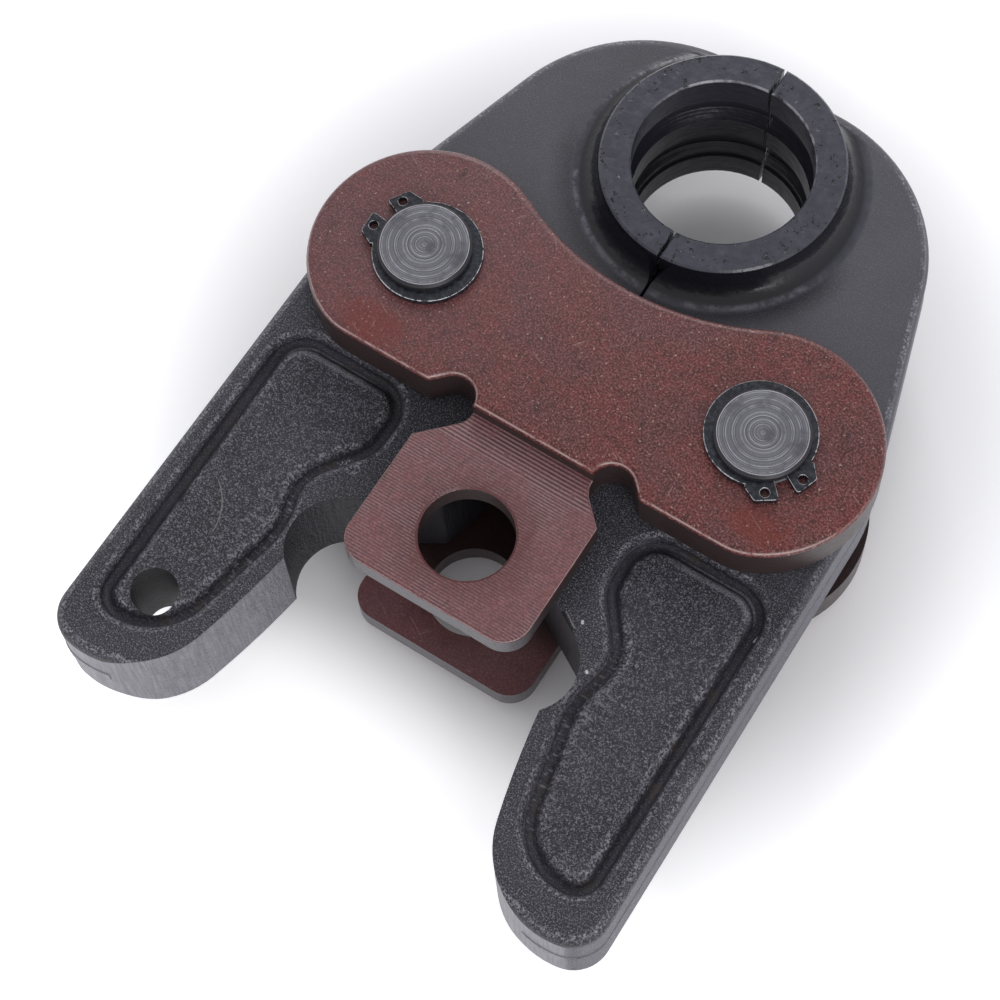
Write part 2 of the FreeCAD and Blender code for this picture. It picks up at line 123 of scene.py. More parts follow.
def coats(tree, colour, layers):
    """Colours laid one over another, each as far as its share says."""
    for share, coat in layers:
        colour = blend_colour(tree, share, colour, coat)
    return colour


def millimetres(tree, centre=(0, 0, 0), stretch=(1, 1, 1)):
    """Place on the piece in millimetres, measured from a centre in metres."""
    place = node(tree, "TexCoord").outputs["Object"]
    offset = node(tree, "VectorMath", {0: place, 1: centre}, operation="SUBTRACT").outputs[0]
    scale = tuple(1000 * share for share in stretch)
    return node(tree, "VectorMath", {0: offset, 1: scale}, operation="MULTIPLY").outputs[0]


def distance(tree, centre=(0, 0, 0), stretch=(1, 1, 0)):
    """Distance from an upright axis in millimetres. The axis goes through a centre in metres."""
    offset = millimetres(tree, centre, stretch)
    return node(tree, "VectorMath", {0: offset}, operation="LENGTH").outputs["Value"]


def grain(tree, place, per_mm, detail=2.0, roughness=0.5):
    """Noise with so many lumps to a millimetre."""
    inputs = {"Vector": place, "Scale": per_mm, "Detail": detail, "Roughness": roughness}
    return node(tree, "TexNoise", inputs).outputs["Fac"]


def relief(tree, height, depth_mm, below=None):
    """Bump of a depth in millimetres, laid over another bump."""
    inputs = {"Height": height, "Distance": depth_mm / 1000, "Strength": 1.0}
    if below is not None:
        inputs["Normal"] = below
    return node(tree, "Bump", inputs).outputs["Normal"]


def facing(tree):
    """The three parts of the direction that the surface faces."""
    return node(tree, "SeparateXYZ", {0: node(tree, "TexCoord").outputs["Normal"]}).outputs


def steepness(tree):
    """0 on flat faces that look up or down, 1 on upright walls."""
    return inverse(tree, maths(tree, "ABSOLUTE", facing(tree)["Z"]))


def segment_mark(tree, place, start, end, half_width):
    """1 on a straight scratch between two places in millimetres, seen from above, fading to 0 beside it."""
    reach = Vector(end) - Vector(start)
    offset = node(tree, "VectorMath", {0: place, 1: (*start, 0)}, operation="SUBTRACT").outputs[0]
    flat = node(tree, "VectorMath", {0: offset, 1: (1, 1, 0)}, operation="MULTIPLY").outputs[0]
    along = (*(reach / reach.length_squared), 0)
    share = node(tree, "VectorMath", {0: flat, 1: along}, operation="DOT_PRODUCT").outputs["Value"]
    share = maths(tree, "ADD", share, 0.0, clamp=True)
    nearest = node(tree, "VectorMath", {0: (*reach, 0), "Scale": share}, operation="SCALE").outputs[0]
    away = node(tree, "VectorMath", {0: flat, 1: nearest}, operation="DISTANCE").outputs["Value"]
    return fade(tree, away, half_width, half_width * 0.4)


def arc_mark(tree, place, centre, radius, start_y, end_y, half_width):
    """1 on a curved scratch, which is part of a circle between two values of Y, in millimetres."""
    offset = node(tree, "VectorMath", {0: place, 1: (*centre, 0)}, operation="SUBTRACT").outputs[0]
    flat = node(tree, "VectorMath", {0: offset, 1: (1, 1, 0)}, operation="MULTIPLY").outputs[0]
    out = node(tree, "VectorMath", {0: flat}, operation="LENGTH").outputs["Value"]
    away = maths(tree, "ABSOLUTE", maths(tree, "SUBTRACT", out, radius))
    axes = node(tree, "SeparateXYZ", {0: place}).outputs
    ends = overlap(tree, fade(tree, axes["Y"], start_y, start_y + 0.8),
                   fade(tree, axes["Y"], end_y, end_y - 0.8))
    side = fade(tree, axes["X"], centre[0], centre[0] + 0.5)
    return overlap(tree, fade(tree, away, half_width, half_width * 0.3), ends, side)


# Centres are in metres. Heights, places along Y and distances from the ring's or hole's axis are in
# millimetres.
ring_centre = (0, 0.0706, 0)
ring_top = 13.7
root_reach = 22.8
bore_reach = 15.4
mouth_reach = 14.3
head_face = 8.5
cusp_y = -15.3
arm_hole = (-0.0347, -0.0291, 0)
arm_hole_r = 3.5
jaw_deep = (0.0105, 0.0098, 0.0155)
jaw_toned = (0.021, 0.020, 0.029)
jaw_grey = (0.222, 0.218, 0.254)
# jaw_crest is the pale colour of worn crests and of painted highlights.
jaw_crest = (0.330, 0.322, 0.365)
ground_dark = (0.110, 0.108, 0.127)
ground_light = (0.235, 0.230, 0.262)


def jaw_places(tree, side):
    """Where a spot of a jaw lies, the noises there, and its share in each surface of the jaw."""
    at = SimpleNamespace()
    at.place = millimetres(tree)
    axes = node(tree, "SeparateXYZ", {0: at.place}).outputs
    at.across = maths(tree, "MULTIPLY", axes["X"], side)
    at.along = axes["Y"]
    at.height = maths(tree, "ABSOLUTE", axes["Z"])
    at.steep = steepness(tree)
    faced = facing(tree)
    at.outward = maths(tree, "MULTIPLY", faced["X"], side)
    at.noseward = faced["Y"]
    at.from_ring = distance(tree, ring_centre)

    at.fine = grain(tree, at.place, 4.6, 2.0, 0.7)
    at.coarse = grain(tree, at.place, 2.6, 3.0, 0.7)
    at.lumps = grain(tree, at.place, 0.35, 2.0)
    at.smears = grain(tree, at.place, 0.5, 3.0, 0.6)
    at.ripples = grain(tree, millimetres(tree, stretch=(0.30, 1.25, 1)), 1.5, 3.0, 0.6)
    at.streaks = grain(tree, millimetres(tree, stretch=(1, 1, 0.06)), 2.6, 3.0, 0.6)

    raised = maths(tree, "MAXIMUM", fade(tree, at.height, head_face - 0.3, head_face + 0.1),
                   fade(tree, at.from_ring, bore_reach + 1.1, bore_reach + 0.6))
    at.turned = overlap(tree, raised, fade(tree, at.from_ring, root_reach + 0.4, root_reach - 0.4))
    at.inside = overlap(tree, fade(tree, at.from_ring, bore_reach + 0.1, bore_reach - 0.1),
                        fade(tree, at.height, ring_top - 0.2, ring_top - 0.5))
    wall = fade(tree, at.steep, 0.9, 0.97)
    at.flank = overlap(tree, wall, fade(tree, at.outward, 0.55, 0.25),
                       fade(tree, at.along, cusp_y + 0.3, cusp_y - 0.3))
    if side < 0:
        at.from_hole = distance(tree, arm_hole)
        at.flank = overlap(tree, at.flank, fade(tree, at.from_hole, arm_hole_r + 0.2, arm_hole_r + 0.6))
    at.recess = overlap(tree, wall, fade(tree, at.outward, 0.3, -0.1),
                        fade(tree, at.along, cusp_y - 0.3, cusp_y + 0.3), fade(tree, at.along, 20.0, 12.0))
    at.cast = inverse(tree, maths(tree, "MAXIMUM", maths(tree, "MAXIMUM", at.turned, at.flank), at.recess))
    at.groove = overlap(tree, fade(tree, at.height, 7.7, 7.1), fade(tree, at.steep, 0.95, 0.9),
                        fade(tree, at.along, 19.0, 17.5), fade(tree, at.across, 43.8, 43.4))
    at.inner_edge = overlap(tree, fade(tree, at.across, 32.0, 27.5), fade(tree, at.along, 4.0, -3.0),
                            fade(tree, at.height, 8.3, 8.1))
    at.flat_face = fade(tree, at.steep, 0.2, 0.05)

    toward_arm = blend_value(tree, fade(tree, at.along, 40.0, 15.0), 0.22, 1.0)
    at.rough_share = overlap(tree, toward_arm, inverse(tree, overlap(tree, at.groove, 0.6)))
    return at


def cast_coat(tree, at):
    """Black cast skin: grey grain with painted glints, crests partly worn pale and partly painted highlight,
    painted shade in the groove and round the ring's foot, outer walls painted lighter, and a little dust in
    the grooves.
    """
    clustered = maths(tree, "MULTIPLY", maths(tree, "SUBTRACT", at.coarse, 0.5), 0.3)
    clustered = maths(tree, "ADD", at.fine, clustered)
    # The pale specks are partly the casting's grain and partly painted glints off its bumps.
    grain_and_glints = overlap(tree, fade(tree, clustered, 0.47, 0.72), at.rough_share)
    # Less grey in the groove paints shade into it.
    smooth = maths(tree, "SUBTRACT", fade(tree, at.along, 15.0, 40.0), overlap(tree, at.groove, 0.2))
    # Painted shade round the foot of the press ring.
    painted_root_shade = overlap(tree, fade(tree, at.from_ring, 27.0, 22.5), fade(tree, at.along, 70.0, 60.0))
    even = overlap(tree, smooth, 0.21, inverse(tree, painted_root_shade))
    # Walls that face outwards are painted lighter, as light falling on them.
    painted_lit_outer_wall = overlap(tree, fade(tree, at.steep, 0.5, 0.9), fade(tree, at.outward, 0.3, 0.8), 0.34)
    even = maths(tree, "ADD", even, painted_lit_outer_wall)
    grey = maths(tree, "ADD", grain_and_glints, even, clamp=True)

    lip = fade(tree, at.steep, 0.42, 0.18)
    tip = overlap(tree, fade(tree, at.along, -33.0, -39.0), 0.4)
    rippled = overlap(tree, fade(tree, at.ripples, 0.54, 0.70), at.inner_edge, 0.5)
    # The crests are partly worn pale and partly painted highlight.
    worn_and_lit_crests = overlap(tree, fade(tree, at.steep, 0.008, 0.06), lip, at.cast, fade(tree, at.height, 6.6, 7.1),
                   fade(tree, at.coarse, 0.44, 0.66), fade(tree, maths(tree, "ADD", at.lumps, tip), 0.3, 0.6),
                   fade(tree, at.from_ring, 24.0, 27.0), 0.8)
    # Painted highlight on the lips that face the nose.
    painted_lip_shine = overlap(tree, fade(tree, at.noseward, 0.06, 0.35), lip, fade(tree, at.across, 23.0, 30.0),
                     fade(tree, at.height, 8.3, 8.0), fade(tree, at.along, 10.0, 13.0),
                     fade(tree, at.fine, 0.32, 0.55), 0.55)
    # The parting ridge's ledge is painted light, to cover the shadow line under it.
    painted_ledge_light = overlap(tree, fade(tree, at.height, 1.3, 1.0), fade(tree, at.steep, 0.7, 0.3))
    dust = overlap(tree, at.groove, fade(tree, at.lumps, 0.56, 0.7), 0.5)

    blotch = grain(tree, at.place, 0.09, 3.0, 0.55)
    return coats(tree, jaw_deep, (
        (fade(tree, blotch, 0.35, 0.7), jaw_toned),
        (grey, jaw_grey),
        (rippled, jaw_crest),
        (worn_and_lit_crests, jaw_crest),
        (painted_lip_shine, jaw_crest),
        (painted_ledge_light, jaw_crest),
        (dust, (0.045, 0.032, 0.022)),
    ))


def ring_coat(tree, at):
    """Oily turned press ring: wall, root and bore painted dark as shade, with painted highlights on its
    mouth's edge and round its root.
    """
    shaded_low_wall = overlap(tree, at.turned, fade(tree, at.height, ring_top - 0.3, ring_top - 0.6),
                       fade(tree, at.steep, 0.0, 0.08))
    # Painted highlight on the mouth's far edge, and painted highlights round the root.
    mouth_highlight = overlap(tree, fade(tree, at.from_ring, mouth_reach + 0.3, mouth_reach),
                    fade(tree, at.height, ring_top - 0.5, ring_top - 0.3), fade(tree, at.steep, 0.1, 0.2),
                    fade(tree, at.noseward, 0.0, -0.5), fade(tree, at.smears, 0.35, 0.6))
    off_root = maths(tree, "ABSOLUTE", maths(tree, "SUBTRACT", at.from_ring, root_reach - 0.7))
    root_highlight = overlap(tree, fade(tree, off_root, 0.7, 0.1), fade(tree, at.smears, 0.42, 0.62),
                       fade(tree, at.along, 66.0, 58.0), 0.5)
    return coats(tree, (0.040, 0.0395, 0.055), (
        (fade(tree, at.smears, 0.3, 0.8), (0.056, 0.055, 0.074)),
        # Painted shade on the ring's lower wall and root, and in its bore.
        (shaded_low_wall, (0.012, 0.0117, 0.017)),
        (at.inside, (0.017, 0.0165, 0.026)),
        (mouth_highlight, (0.26, 0.255, 0.28)),
        (root_highlight, (0.20, 0.195, 0.22)),
    ))


def left_marks(tree, at, colour):
    """The left arm's hole with painted shade on its wall, its curved scratch and the flakes beside its
    recess.
    """
    shaded_hole_wall = overlap(tree, fade(tree, at.from_hole, arm_hole_r + 0.4, arm_hole_r + 0.2),
                        fade(tree, at.steep, 0.3, 0.6))
    scratch = arc_mark(tree, at.place, (-42.2, -17.8), 9.4, -17.6, -9.8, 0.11)
    flakes = segment_mark(tree, at.place, (-20.8, 1.5), (-24.2, 2.8), 1.4)
    return coats(tree, colour, (
        (shaded_hole_wall, (0.010, 0.0098, 0.013)),
        (overlap(tree, scratch, at.flat_face, 0.6), (0.30, 0.28, 0.25)),
        (overlap(tree, flakes, at.flat_face, fade(tree, at.coarse, 0.52, 0.62)), jaw_crest),
    ))


def right_marks(tree, at, colour):
    """The right arm's short crease beside its recess, painted as a dark line of shade with a painted
    highlight beside it, and three bright nicks.
    """
    crease_shade = segment_mark(tree, at.place, (16.7, -1.2), (19.2, -2.8), 0.35)
    crease_highlight_and_nicks = overlap(tree, segment_mark(tree, at.place, (17.0, -0.8), (19.3, -2.3), 0.16), 0.25)
    for start, end, half_width in (((41.6, 9.8), (41.8, 10.7), 0.22), ((19.8, -0.9), (19.9, -1.1), 0.3),
                                   ((24.2, -6.9), (24.3, -7.0), 0.3)):
        crease_highlight_and_nicks = maths(tree, "MAXIMUM", crease_highlight_and_nicks, segment_mark(tree, at.place, start, end, half_width))
    return coats(tree, colour, (
        (overlap(tree, crease_shade, at.flat_face), (0.004, 0.004, 0.005)),
        (overlap(tree, crease_highlight_and_nicks, fade(tree, at.steep, 0.6, 0.4)), (0.55, 0.54, 0.56)),
    ))


def jaw_relief(tree, at, pits):
    """Cast grain, ripples by the groove, grinding streaks, and turned lines with pits on the ring."""
    lumpy = maths(tree, "ADD", at.fine, overlap(tree, at.lumps, 0.9))
    cut = maths(tree, "ADD", at.flank, overlap(tree, at.recess, 2.0))
    turned_lines = grain(tree, millimetres(tree, stretch=(0.02, 0.02, 1)), 3.0, 2.0, 0.5)
    ring_marks = maths(tree, "ADD", overlap(tree, turned_lines, at.inside), overlap(tree, pits, -3.0))
    waves = overlap(tree, grain(tree, at.place, 0.55, 2.0), at.turned)
    bump = relief(tree, overlap(tree, lumpy, at.cast, at.rough_share), 0.3)
    bump = relief(tree, overlap(tree, at.ripples, at.inner_edge), 0.35, bump)
    bump = relief(tree, overlap(tree, at.streaks, cut), 0.05, bump)
    bump = relief(tree, ring_marks, 0.05, bump)
    return relief(tree, waves, 0.12, bump)


def jaw_finish(name, side):
    """Blackened casting. Side is 1 on the right jaw and -1 on the left."""
    material, tree, shader = new_finish(name)
    at = jaw_places(tree, side)

    ring_face = overlap(tree, fade(tree, at.height, ring_top - 0.5, ring_top - 0.2), at.turned)
    pits = overlap(tree, fade(tree, grain(tree, at.place, 1.5, 3.0, 0.6), 0.60, 0.64), ring_face,
                   fade(tree, at.lumps, 0.44, 0.54))
    ground = coats(tree, ground_dark, (
        (fade(tree, at.streaks, 0.25, 0.75), ground_light),
        (overlap(tree, fade(tree, at.smears, 0.45, 0.75), 0.5), ground_dark),
    ))
    milled = blend_colour(tree, fade(tree, at.streaks, 0.35, 0.7), (0.008, 0.0075, 0.011),
                          (0.030, 0.028, 0.037))
    colour = coats(tree, cast_coat(tree, at), (
        (at.turned, ring_coat(tree, at)),
        (pits, (0.004, 0.004, 0.005)),
        (at.flank, ground),
        (at.recess, milled),
        # The deep slope of the recess is painted near black, as shade in it.
        (overlap(tree, at.recess, fade(tree, at.across, 17.0, 12.0)), (0.006, 0.0055, 0.008)),
    ))
    colour = left_marks(tree, at, colour) if side < 0 else right_marks(tree, at, colour)
    tree.links.new(colour, shader.inputs["Base Color"])
    tree.links.new(overlap(tree, at.flank, 0.3), shader.inputs["Metallic"])

    oily = maths(tree, "ADD", 0.16, overlap(tree, at.smears, 0.2))
    dull = maths(tree, "ADD", 0.36, overlap(tree, at.fine, 0.3))
    gloss = blend_value(tree, at.turned, dull, oily)
    gloss = blend_value(tree, at.inside, gloss, 0.35)
    gloss = blend_value(tree, at.flank, gloss, 0.42)
    tree.links.new(gloss, shader.inputs["Roughness"])
    shader.inputs["Specular IOR Level"].default_value = 0.42
    tree.links.new(jaw_relief(tree, at, pits), shader.inputs["Normal"])
    return material


for jaw_name, jaw_side in (("left_jaw", -1), ("right_jaw", 1)):
    dress(nodes[jaw_name], jaw_finish(jaw_name + "_black", jaw_side))


# The pivot pins are turned steel. The turning tool has left fine rings on the end faces, with patches of dark
# dirt.
# A painted highlight runs round the rim of each end face, and the pins' sides are painted darker as shade.

pin_places = {"left": (-0.0285, 0.0332, 0), "right": (0.0285, 0.0332, 0)}
pin_rim = 6.5


def pin_finish(name, centre):
    """Turned steel with rings round the pin's own axis."""
    material, tree, shader = new_finish(name)
    place = millimetres(tree, centre)
    steep = steepness(tree)
    out = distance(tree, centre)
    wander = overlap(tree, grain(tree, place, 0.35, 2.0), 0.15)
    spread = node(tree, "CombineXYZ", {"X": maths(tree, "ADD", out, wander)}).outputs[0]
    rings = grain(tree, spread, 4.2, 3.0, 0.85)
    dirt = grain(tree, place, 0.45, 4.0, 0.6)
    face = fade(tree, steep, 0.25, 0.1)
    # Painted highlight round the rim of the end face.
    rim_highlight = overlap(tree, fade(tree, out, pin_rim - 0.08, pin_rim + 0.05), face)
    colour = coats(tree, (0.055, 0.054, 0.066), (
        (fade(tree, rings, 0.36, 0.56), (0.165, 0.162, 0.188)),
        (overlap(tree, fade(tree, rings, 0.52, 0.62), fade(tree, dirt, 0.7, 0.35)), (0.46, 0.455, 0.49)),
        (overlap(tree, fade(tree, dirt, 0.5, 0.75), 0.6), (0.050, 0.049, 0.055)),
        (overlap(tree, rim_highlight, fade(tree, dirt, 0.3, 0.6)), (0.42, 0.41, 0.44)),
        # The pin's side is painted darker, as shade.
        (fade(tree, steep, 0.1, 0.25), (0.026, 0.025, 0.030)),
    ))
    tree.links.new(colour, shader.inputs["Base Color"])
    shader.inputs["Metallic"].default_value = 0.35
    tree.links.new(maths(tree, "ADD", 0.34, overlap(tree, dirt, 0.2)), shader.inputs["Roughness"])
    tree.links.new(relief(tree, overlap(tree, rings, face), 0.07), shader.inputs["Normal"])
    return material


for pin_side, pin_centre in pin_places.items():
    dress(nodes[pin_side + "_pivot_pin"], pin_finish(pin_side + "_pin_steel", pin_centre))


# Each side plate is milled from bar and given a red-brown heat and oil finish, blotched and scratched.
# The tail is milled down to its step, and the cutter's lines run across it. The walls and the inner faces
# between the tails are painted dark as shade, and the edges and far left carry painted highlight and
# reflection.

step_line = 16.3
tool_bore_r = 7.0
near_pitch = 0.60
far_pitch = 0.46
# Each heat spot has its X, Y and reach, and each set of hair scratches its turn in radians, its
# closeness across and the height at which the noise is cut.
heat_spots = ((-29.0, 19.5, 5.0), (34.5, 21.5, 4.5))
hair_sets = ((0.5, 3.0, 0.74), (-0.9, 3.4, 0.745), (1.5, 2.8, 0.75))


def cutter_lines(tree, along, place, clouds):
    """Milled lines across the tail, coarse by the step and finer towards its end, as a wave round 0."""
    near = fade(tree, along, 10.8, 11.8)
    wander = overlap(tree, grain(tree, place, 0.12, 1.0), 0.15)
    cutter_y = maths(tree, "ADD", along, wander)
    waves = [maths(tree, "SINE", overlap(tree, cutter_y, 2 * math.pi / pitch))
             for pitch in (far_pitch, near_pitch)]
    lines = blend_value(tree, near, *waves)
    patchy = maths(tree, "ADD", -0.1, overlap(tree, clouds, 2.0))
    return overlap(tree, lines, blend_value(tree, near, 0.6, 1.0), patchy)


def plate_finish(name, up_side):
    """Red-brown finish. Up side is 1 on the upper plate and -1 on the lower one."""
    material, tree, shader = new_finish(name)
    place = millimetres(tree)
    axes = node(tree, "SeparateXYZ", {0: place}).outputs
    along = axes["Y"]
    steep = steepness(tree)
    wall = fade(tree, steep, 0.75, 0.95)
    rim_highlight = overlap(tree, fade(tree, steep, 0.20, 0.32), fade(tree, steep, 0.54, 0.40))
    from_bore = distance(tree)
    off_bore = fade(tree, from_bore, tool_bore_r + 0.6, tool_bore_r + 1.2)
    tail = fade(tree, along, step_line + 0.05, step_line - 0.05)
    outward = maths(tree, "MULTIPLY", facing(tree)["Z"], up_side)
    outer_face = fade(tree, outward, 0.5, 0.9)
    inner_face = fade(tree, outward, -0.5, -0.9)

    clouds = grain(tree, place, 0.11, 4.0, 0.6)
    mottle = grain(tree, place, 0.7, 4.0, 0.72)
    fine = grain(tree, place, 3.1, 2.0, 0.7)
    stains = grain(tree, millimetres(tree, stretch=(1, 0.45, 1)), 0.35, 4.0, 0.65)
    specks = fade(tree, grain(tree, place, 1.9, 1.0), 0.70, 0.74)
    painted_reflection_gradient = maths(tree, "SUBTRACT", overlap(tree, along, 0.8), axes["X"])

    colour = coats(tree, (0.135, 0.026, 0.024), (
        (fade(tree, clouds, 0.38, 0.62), (0.100, 0.030, 0.032)),
        (overlap(tree, fade(tree, mottle, 0.45, 0.65), 0.8), (0.052, 0.011, 0.010)),
        (overlap(tree, fade(tree, fine, 0.48, 0.66), 0.8), (0.250, 0.100, 0.096)),
        (overlap(tree, fade(tree, fine, 0.50, 0.36), 0.65), (0.034, 0.008, 0.008)),
        # Painted reflection: the plate grows lighter towards its far left.
        (overlap(tree, fade(tree, painted_reflection_gradient, 8.0, 60.0), 0.3), (0.150, 0.085, 0.095)),
        (overlap(tree, tail, 0.45), (0.200, 0.102, 0.114)),
        (overlap(tree, fade(tree, stains, 0.60, 0.74), 0.7), (0.035, 0.016, 0.017)),
    ))
    for x, y, reach in heat_spots:
        out = distance(tree, (x / 1000, y / 1000, 0), (1, 1.8, 0))
        ragged = maths(tree, "ADD", out, overlap(tree, mottle, 5.0))
        hot = overlap(tree, fade(tree, ragged, reach + 5.0, reach), 0.55)
        colour = blend_colour(tree, hot, colour, (0.150, 0.018, 0.008))
    stained = maths(tree, "ADD", from_bore, overlap(tree, stains, 9.0))
    specks = overlap(tree, specks, maths(tree, "SUBTRACT", 0.7, overlap(tree, tail, 0.45)))
    colour = coats(tree, colour, (
        (overlap(tree, fade(tree, stained, 16.5, 11.5), 0.55), (0.075, 0.020, 0.020)),
        (specks, (0.40, 0.28, 0.24)),
    ))
    for turn, squeeze, cut in hair_sets:
        turned = node(tree, "VectorRotate", {"Vector": place, "Angle": turn}, rotation_type="Z_AXIS")
        drawn = node(tree, "VectorMath", {0: turned.outputs[0], 1: (0.16, squeeze, 1)}, operation="MULTIPLY")
        hairs = fade(tree, grain(tree, drawn.outputs[0], 1.1, 2.0, 0.4), cut, cut + 0.03)
        colour = blend_colour(tree, overlap(tree, hairs, 0.45), colour, (0.34, 0.22, 0.19))

    tail_end = overlap(tree, wall, off_bore, fade(tree, along, -3.0, -10.0), fade(tree, mottle, 0.3, 0.5))
    # A light line along the middle of the rounded edges, partly worn bright and partly painted highlight.
    rubbed_edge_highlight = overlap(tree, rim_highlight, fade(tree, mottle, 0.32, 0.55), off_bore, fade(tree, along, 40.0, 12.0), 0.75)
    milled = overlap(tree, cutter_lines(tree, along, place, clouds), tail, outer_face,
                     fade(tree, mottle, 0.2, 0.5))
    colour = coats(tree, colour, (
        # The plate's walls are painted dark, as shade.
        (wall, (0.034, 0.021, 0.021)),
        (tail_end, (0.108, 0.100, 0.110)),
        # Painted shade on the inner faces between the two tails.
        (overlap(tree, inner_face, fade(tree, along, -5.0, 2.0), 0.9), (0.008, 0.004, 0.004)),
        (rubbed_edge_highlight, (0.52, 0.38, 0.36)),
        # The cutter's lines are painted light on their crests and dark in their troughs, partly as their own
        # tone and partly as highlight and shade.
        (overlap(tree, fade(tree, milled, 0.2, 0.8), 0.5), (0.36, 0.24, 0.25)),
        (overlap(tree, fade(tree, milled, -0.2, -0.8), 0.75), (0.055, 0.018, 0.018)),
    ))
    tree.links.new(colour, shader.inputs["Base Color"])
    shader.inputs["Specular IOR Level"].default_value = 0.4
    tree.links.new(maths(tree, "ADD", 0.24, overlap(tree, mottle, 0.25)), shader.inputs["Roughness"])
    skin = maths(tree, "ADD", fine, overlap(tree, mottle, 1.5))
    tree.links.new(relief(tree, skin, 0.05, relief(tree, milled, 0.03)), shader.inputs["Normal"])
    return material


for plate_name, plate_up in (("upper_side_plate", 1), ("lower_side_plate", -1)):
    dress(nodes[plate_name], plate_finish(plate_name + "_brown", plate_up))


# The retaining rings are stamped spring steel, blued and oiled, with a painted highlight along their
# edges.

def clip_finish():
    """Blued steel, rubbed lighter in patches, with a painted highlight along its edges."""
    material, tree, shader = new_finish("clip_blued")
    rubs = grain(tree, millimetres(tree), 1.4, 3.0, 0.6)
    steep = steepness(tree)
    # Painted highlight on the rounded edges.
    edge_highlight = overlap(tree, fade(tree, steep, 0.02, 0.15), fade(tree, steep, 0.98, 0.8))
    colour = coats(tree, (0.010, 0.011, 0.017), (
        (fade(tree, rubs, 0.4, 0.75), (0.045, 0.048, 0.062)),
        (overlap(tree, edge_highlight, fade(tree, rubs, 0.35, 0.55)), (0.55, 0.55, 0.57)),
    ))
    tree.links.new(colour, shader.inputs["Base Color"])
    shader.inputs["Metallic"].default_value = 0.2
    tree.links.new(maths(tree, "ADD", 0.2, overlap(tree, rubs, 0.2)), shader.inputs["Roughness"])
    tree.links.new(relief(tree, rubs, 0.03), shader.inputs["Normal"])
    return material


clip_material = clip_finish()
for level in ("upper", "lower"):
    for clip_side in ("left", "right"):
        dress(nodes[level + "_" + clip_side + "_retaining_ring"], clip_material)


# The closing spring is a coil of oiled spring steel wire. It sits in blind holes in the heels of the
# two jaws and presses them apart. It is built as two halves, each running from the middle towards its own
# jaw.

spring_y = 0.020
coil_radius = 0.0039
wire_radius = 0.00065
spring_half = 0.01198
half_turns = 3.5
turn_steps = 168


def spring_finish():
    """Drawn wire with a thin film of oil."""
    material, tree, shader = new_finish("spring_steel")
    place = millimetres(tree)
    rubs = grain(tree, place, 1.2, 3.0, 0.6)
    colour = blend_colour(tree, fade(tree, rubs, 0.4, 0.7), (0.07, 0.07, 0.075), (0.2, 0.2, 0.21))
    tree.links.new(colour, shader.inputs["Base Color"])
    shader.inputs["Metallic"].default_value = 0.85
    tree.links.new(maths(tree, "ADD", 0.3, overlap(tree, rubs, 0.15)), shader.inputs["Roughness"])
    tree.links.new(relief(tree, grain(tree, place, 6.0, 2.0), 0.01), shader.inputs["Normal"])
    return material


spring_material = spring_finish()
for jaw_name, way in (("left_jaw", -1), ("right_jaw", 1)):
    wire = bmesh.new()
    bmesh.ops.create_circle(wire, segments=16, radius=wire_radius)
    quarter = Matrix.Rotation(math.radians(90), 3, "X")
    bmesh.ops.rotate(wire, verts=wire.verts, cent=(0, 0, 0), matrix=quarter)
    bmesh.ops.translate(wire, verts=wire.verts, vec=(0, spring_y, coil_radius))
    bmesh.ops.spin(wire, geom=wire.verts[:] + wire.edges[:], cent=(0, spring_y, 0), axis=(1, 0, 0),
                   dvec=(way * spring_half / turn_steps, 0, 0), angle=way * half_turns * 2 * math.pi,
                   steps=turn_steps)
    bmesh.ops.holes_fill(wire, edges=wire.edges, sides=0)
    bmesh.ops.recalc_face_normals(wire, faces=wire.faces)
    for face in wire.faces:
        face.smooth = len(face.verts) == 4
    coil_data = bpy.data.meshes.new(jaw_name + "_spring_half")
    wire.to_mesh(coil_data)
    wire.free()
    coil_data.materials.append(spring_material)
    coil = bpy.data.objects.new(jaw_name + "_spring_half", coil_data)
    bpy.context.scene.collection.objects.link(coil)
    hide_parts("closing_spring")
    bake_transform(coil)


# The floor is a plain pale sheet under the lower pin ends. Seen straight on or in metal or glass it glows
# white, except in a patch round the object where the glow fades out, which paints a shadow there.

floor_height = cad_low.z
floor_half_width = 3.0
shadow_centre = (0, 0.045, 0)


def floor_finish():
    """Pale floor that glows for camera and mirror rays, with the glow faded out round the object as a painted
    shadow.
    """
    material, tree, shader = new_finish("floor_white")
    rays = node(tree, "LightPath").outputs
    seen = maths(tree, "MAXIMUM", rays["Is Camera Ray"], rays["Is Glossy Ray"])
    seen = maths(tree, "MAXIMUM", seen, rays["Is Transmission Ray"])
    front = node(tree, "SeparateXYZ", {0: millimetres(tree)}).outputs["Y"]
    # The glow fades out near the object, which paints a shadow round it.
    clear = maths(tree, "MAXIMUM", fade(tree, distance(tree, shadow_centre), 50.0, 92.0),
                  fade(tree, front, -6.0, -26.0))
    colour = blend_colour(tree, seen, (0.75, 0.75, 0.76), (0.95, 0.95, 0.97))
    tree.links.new(colour, shader.inputs["Base Color"])
    tree.links.new(overlap(tree, seen, clear, 0.5), shader.inputs["Emission Strength"])
    shader.inputs["Emission Color"].default_value = (0.98, 0.98, 1.0, 1.0)
    shader.inputs["Roughness"].default_value = 0.9
    shader.inputs["Specular IOR Level"].default_value = 0.1
    return material


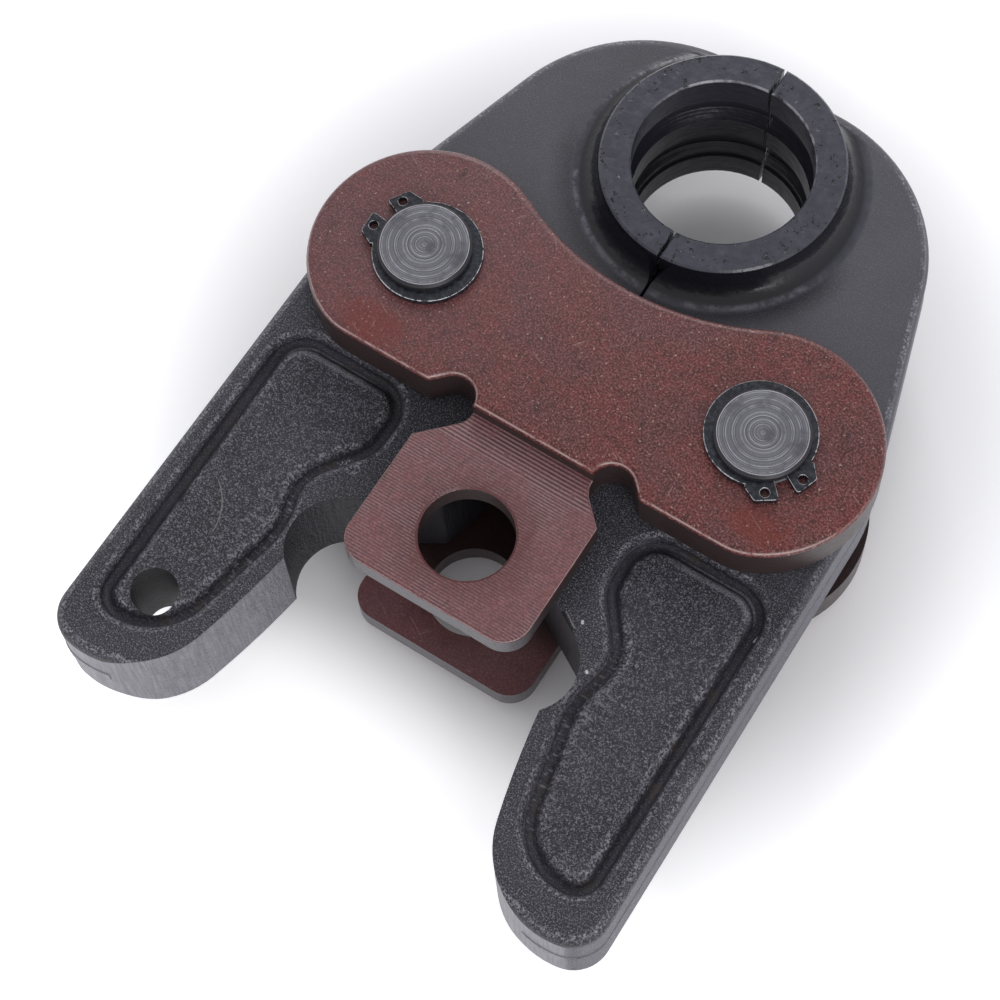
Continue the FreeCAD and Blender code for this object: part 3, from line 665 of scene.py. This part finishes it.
floor_mesh = bmesh.new()
bmesh.ops.create_grid(floor_mesh, x_segments=1, y_segments=1, size=floor_half_width)
bmesh.ops.translate(floor_mesh, verts=floor_mesh.verts, vec=(0, 0, floor_height))
floor_data = bpy.data.meshes.new("floor")
floor_mesh.to_mesh(floor_data)
floor_mesh.free()
floor = bpy.data.objects.new("floor", floor_data)
floor_data.materials.append(floor_finish())
bpy.context.scene.collection.objects.link(floor)


# The studio is a white room that lights the jaw softly from all sides. Two soft boxes add the light
# on its far edges and its right side, and what metal mirrors overhead is a little darker than white.

scene = bpy.context.scene
scene.view_settings.view_transform = "Standard"
room_light = 0.72
mirrored_horizon = 1.0
mirrored_overhead = 0.62
world = bpy.data.worlds.new("studio")
world.use_nodes = True
scene.world = world
sky = world.node_tree
sky_rays = node(sky, "LightPath").outputs
upward = node(sky, "SeparateXYZ", {0: node(sky, "TexCoord").outputs["Generated"]}).outputs["Z"]
mirrored = maths(sky, "MAXIMUM", sky_rays["Is Glossy Ray"], sky_rays["Is Transmission Ray"])
mirrored_light = blend_value(sky, upward, mirrored_horizon, mirrored_overhead)
strength = blend_value(sky, mirrored, room_light, mirrored_light)
strength = blend_value(sky, sky_rays["Is Camera Ray"], strength, 1.0)
sky.links.new(strength, sky.nodes["Background"].inputs["Strength"])
sky.nodes["Background"].inputs["Color"].default_value = (0.98, 0.98, 1.0, 1)

object_middle = Vector((0, 0.023, 0))


def soft_light(name, place, size, power):
    """Square soft box that looks at the middle of the jaw."""
    data = bpy.data.lights.new(name, "AREA")
    data.shape = "SQUARE"
    data.size = size
    data.energy = power
    lamp = bpy.data.objects.new(name, data)
    scene.collection.objects.link(lamp)
    lamp.location = place
    lamp.rotation_euler = (object_middle - Vector(place)).to_track_quat("-Z", "Y").to_euler()


soft_light("back_light", (-0.35, 0.75, 0.5), 0.35, 2.6)
soft_light("right_light", (0.75, -0.5, 0.4), 0.4, 3.2)


# The camera stands where the photograph was taken from, as fitted to the bores, pins and straight
# edges in it.

camera_place = (0.088536, -0.107484, 0.359154)
camera_turn = Euler([math.radians(turn) for turn in (22.5305, 1.9784, 32.6169)])
camera_data = bpy.data.cameras.new("camera")
camera_data.sensor_width = 36.0
camera_data.lens = 94.98
camera_data.clip_start = 0.01
camera = bpy.data.objects.new("camera", camera_data)
camera.location = camera_place
camera.rotation_euler = camera_turn
scene.collection.objects.link(camera)
scene.camera = camera
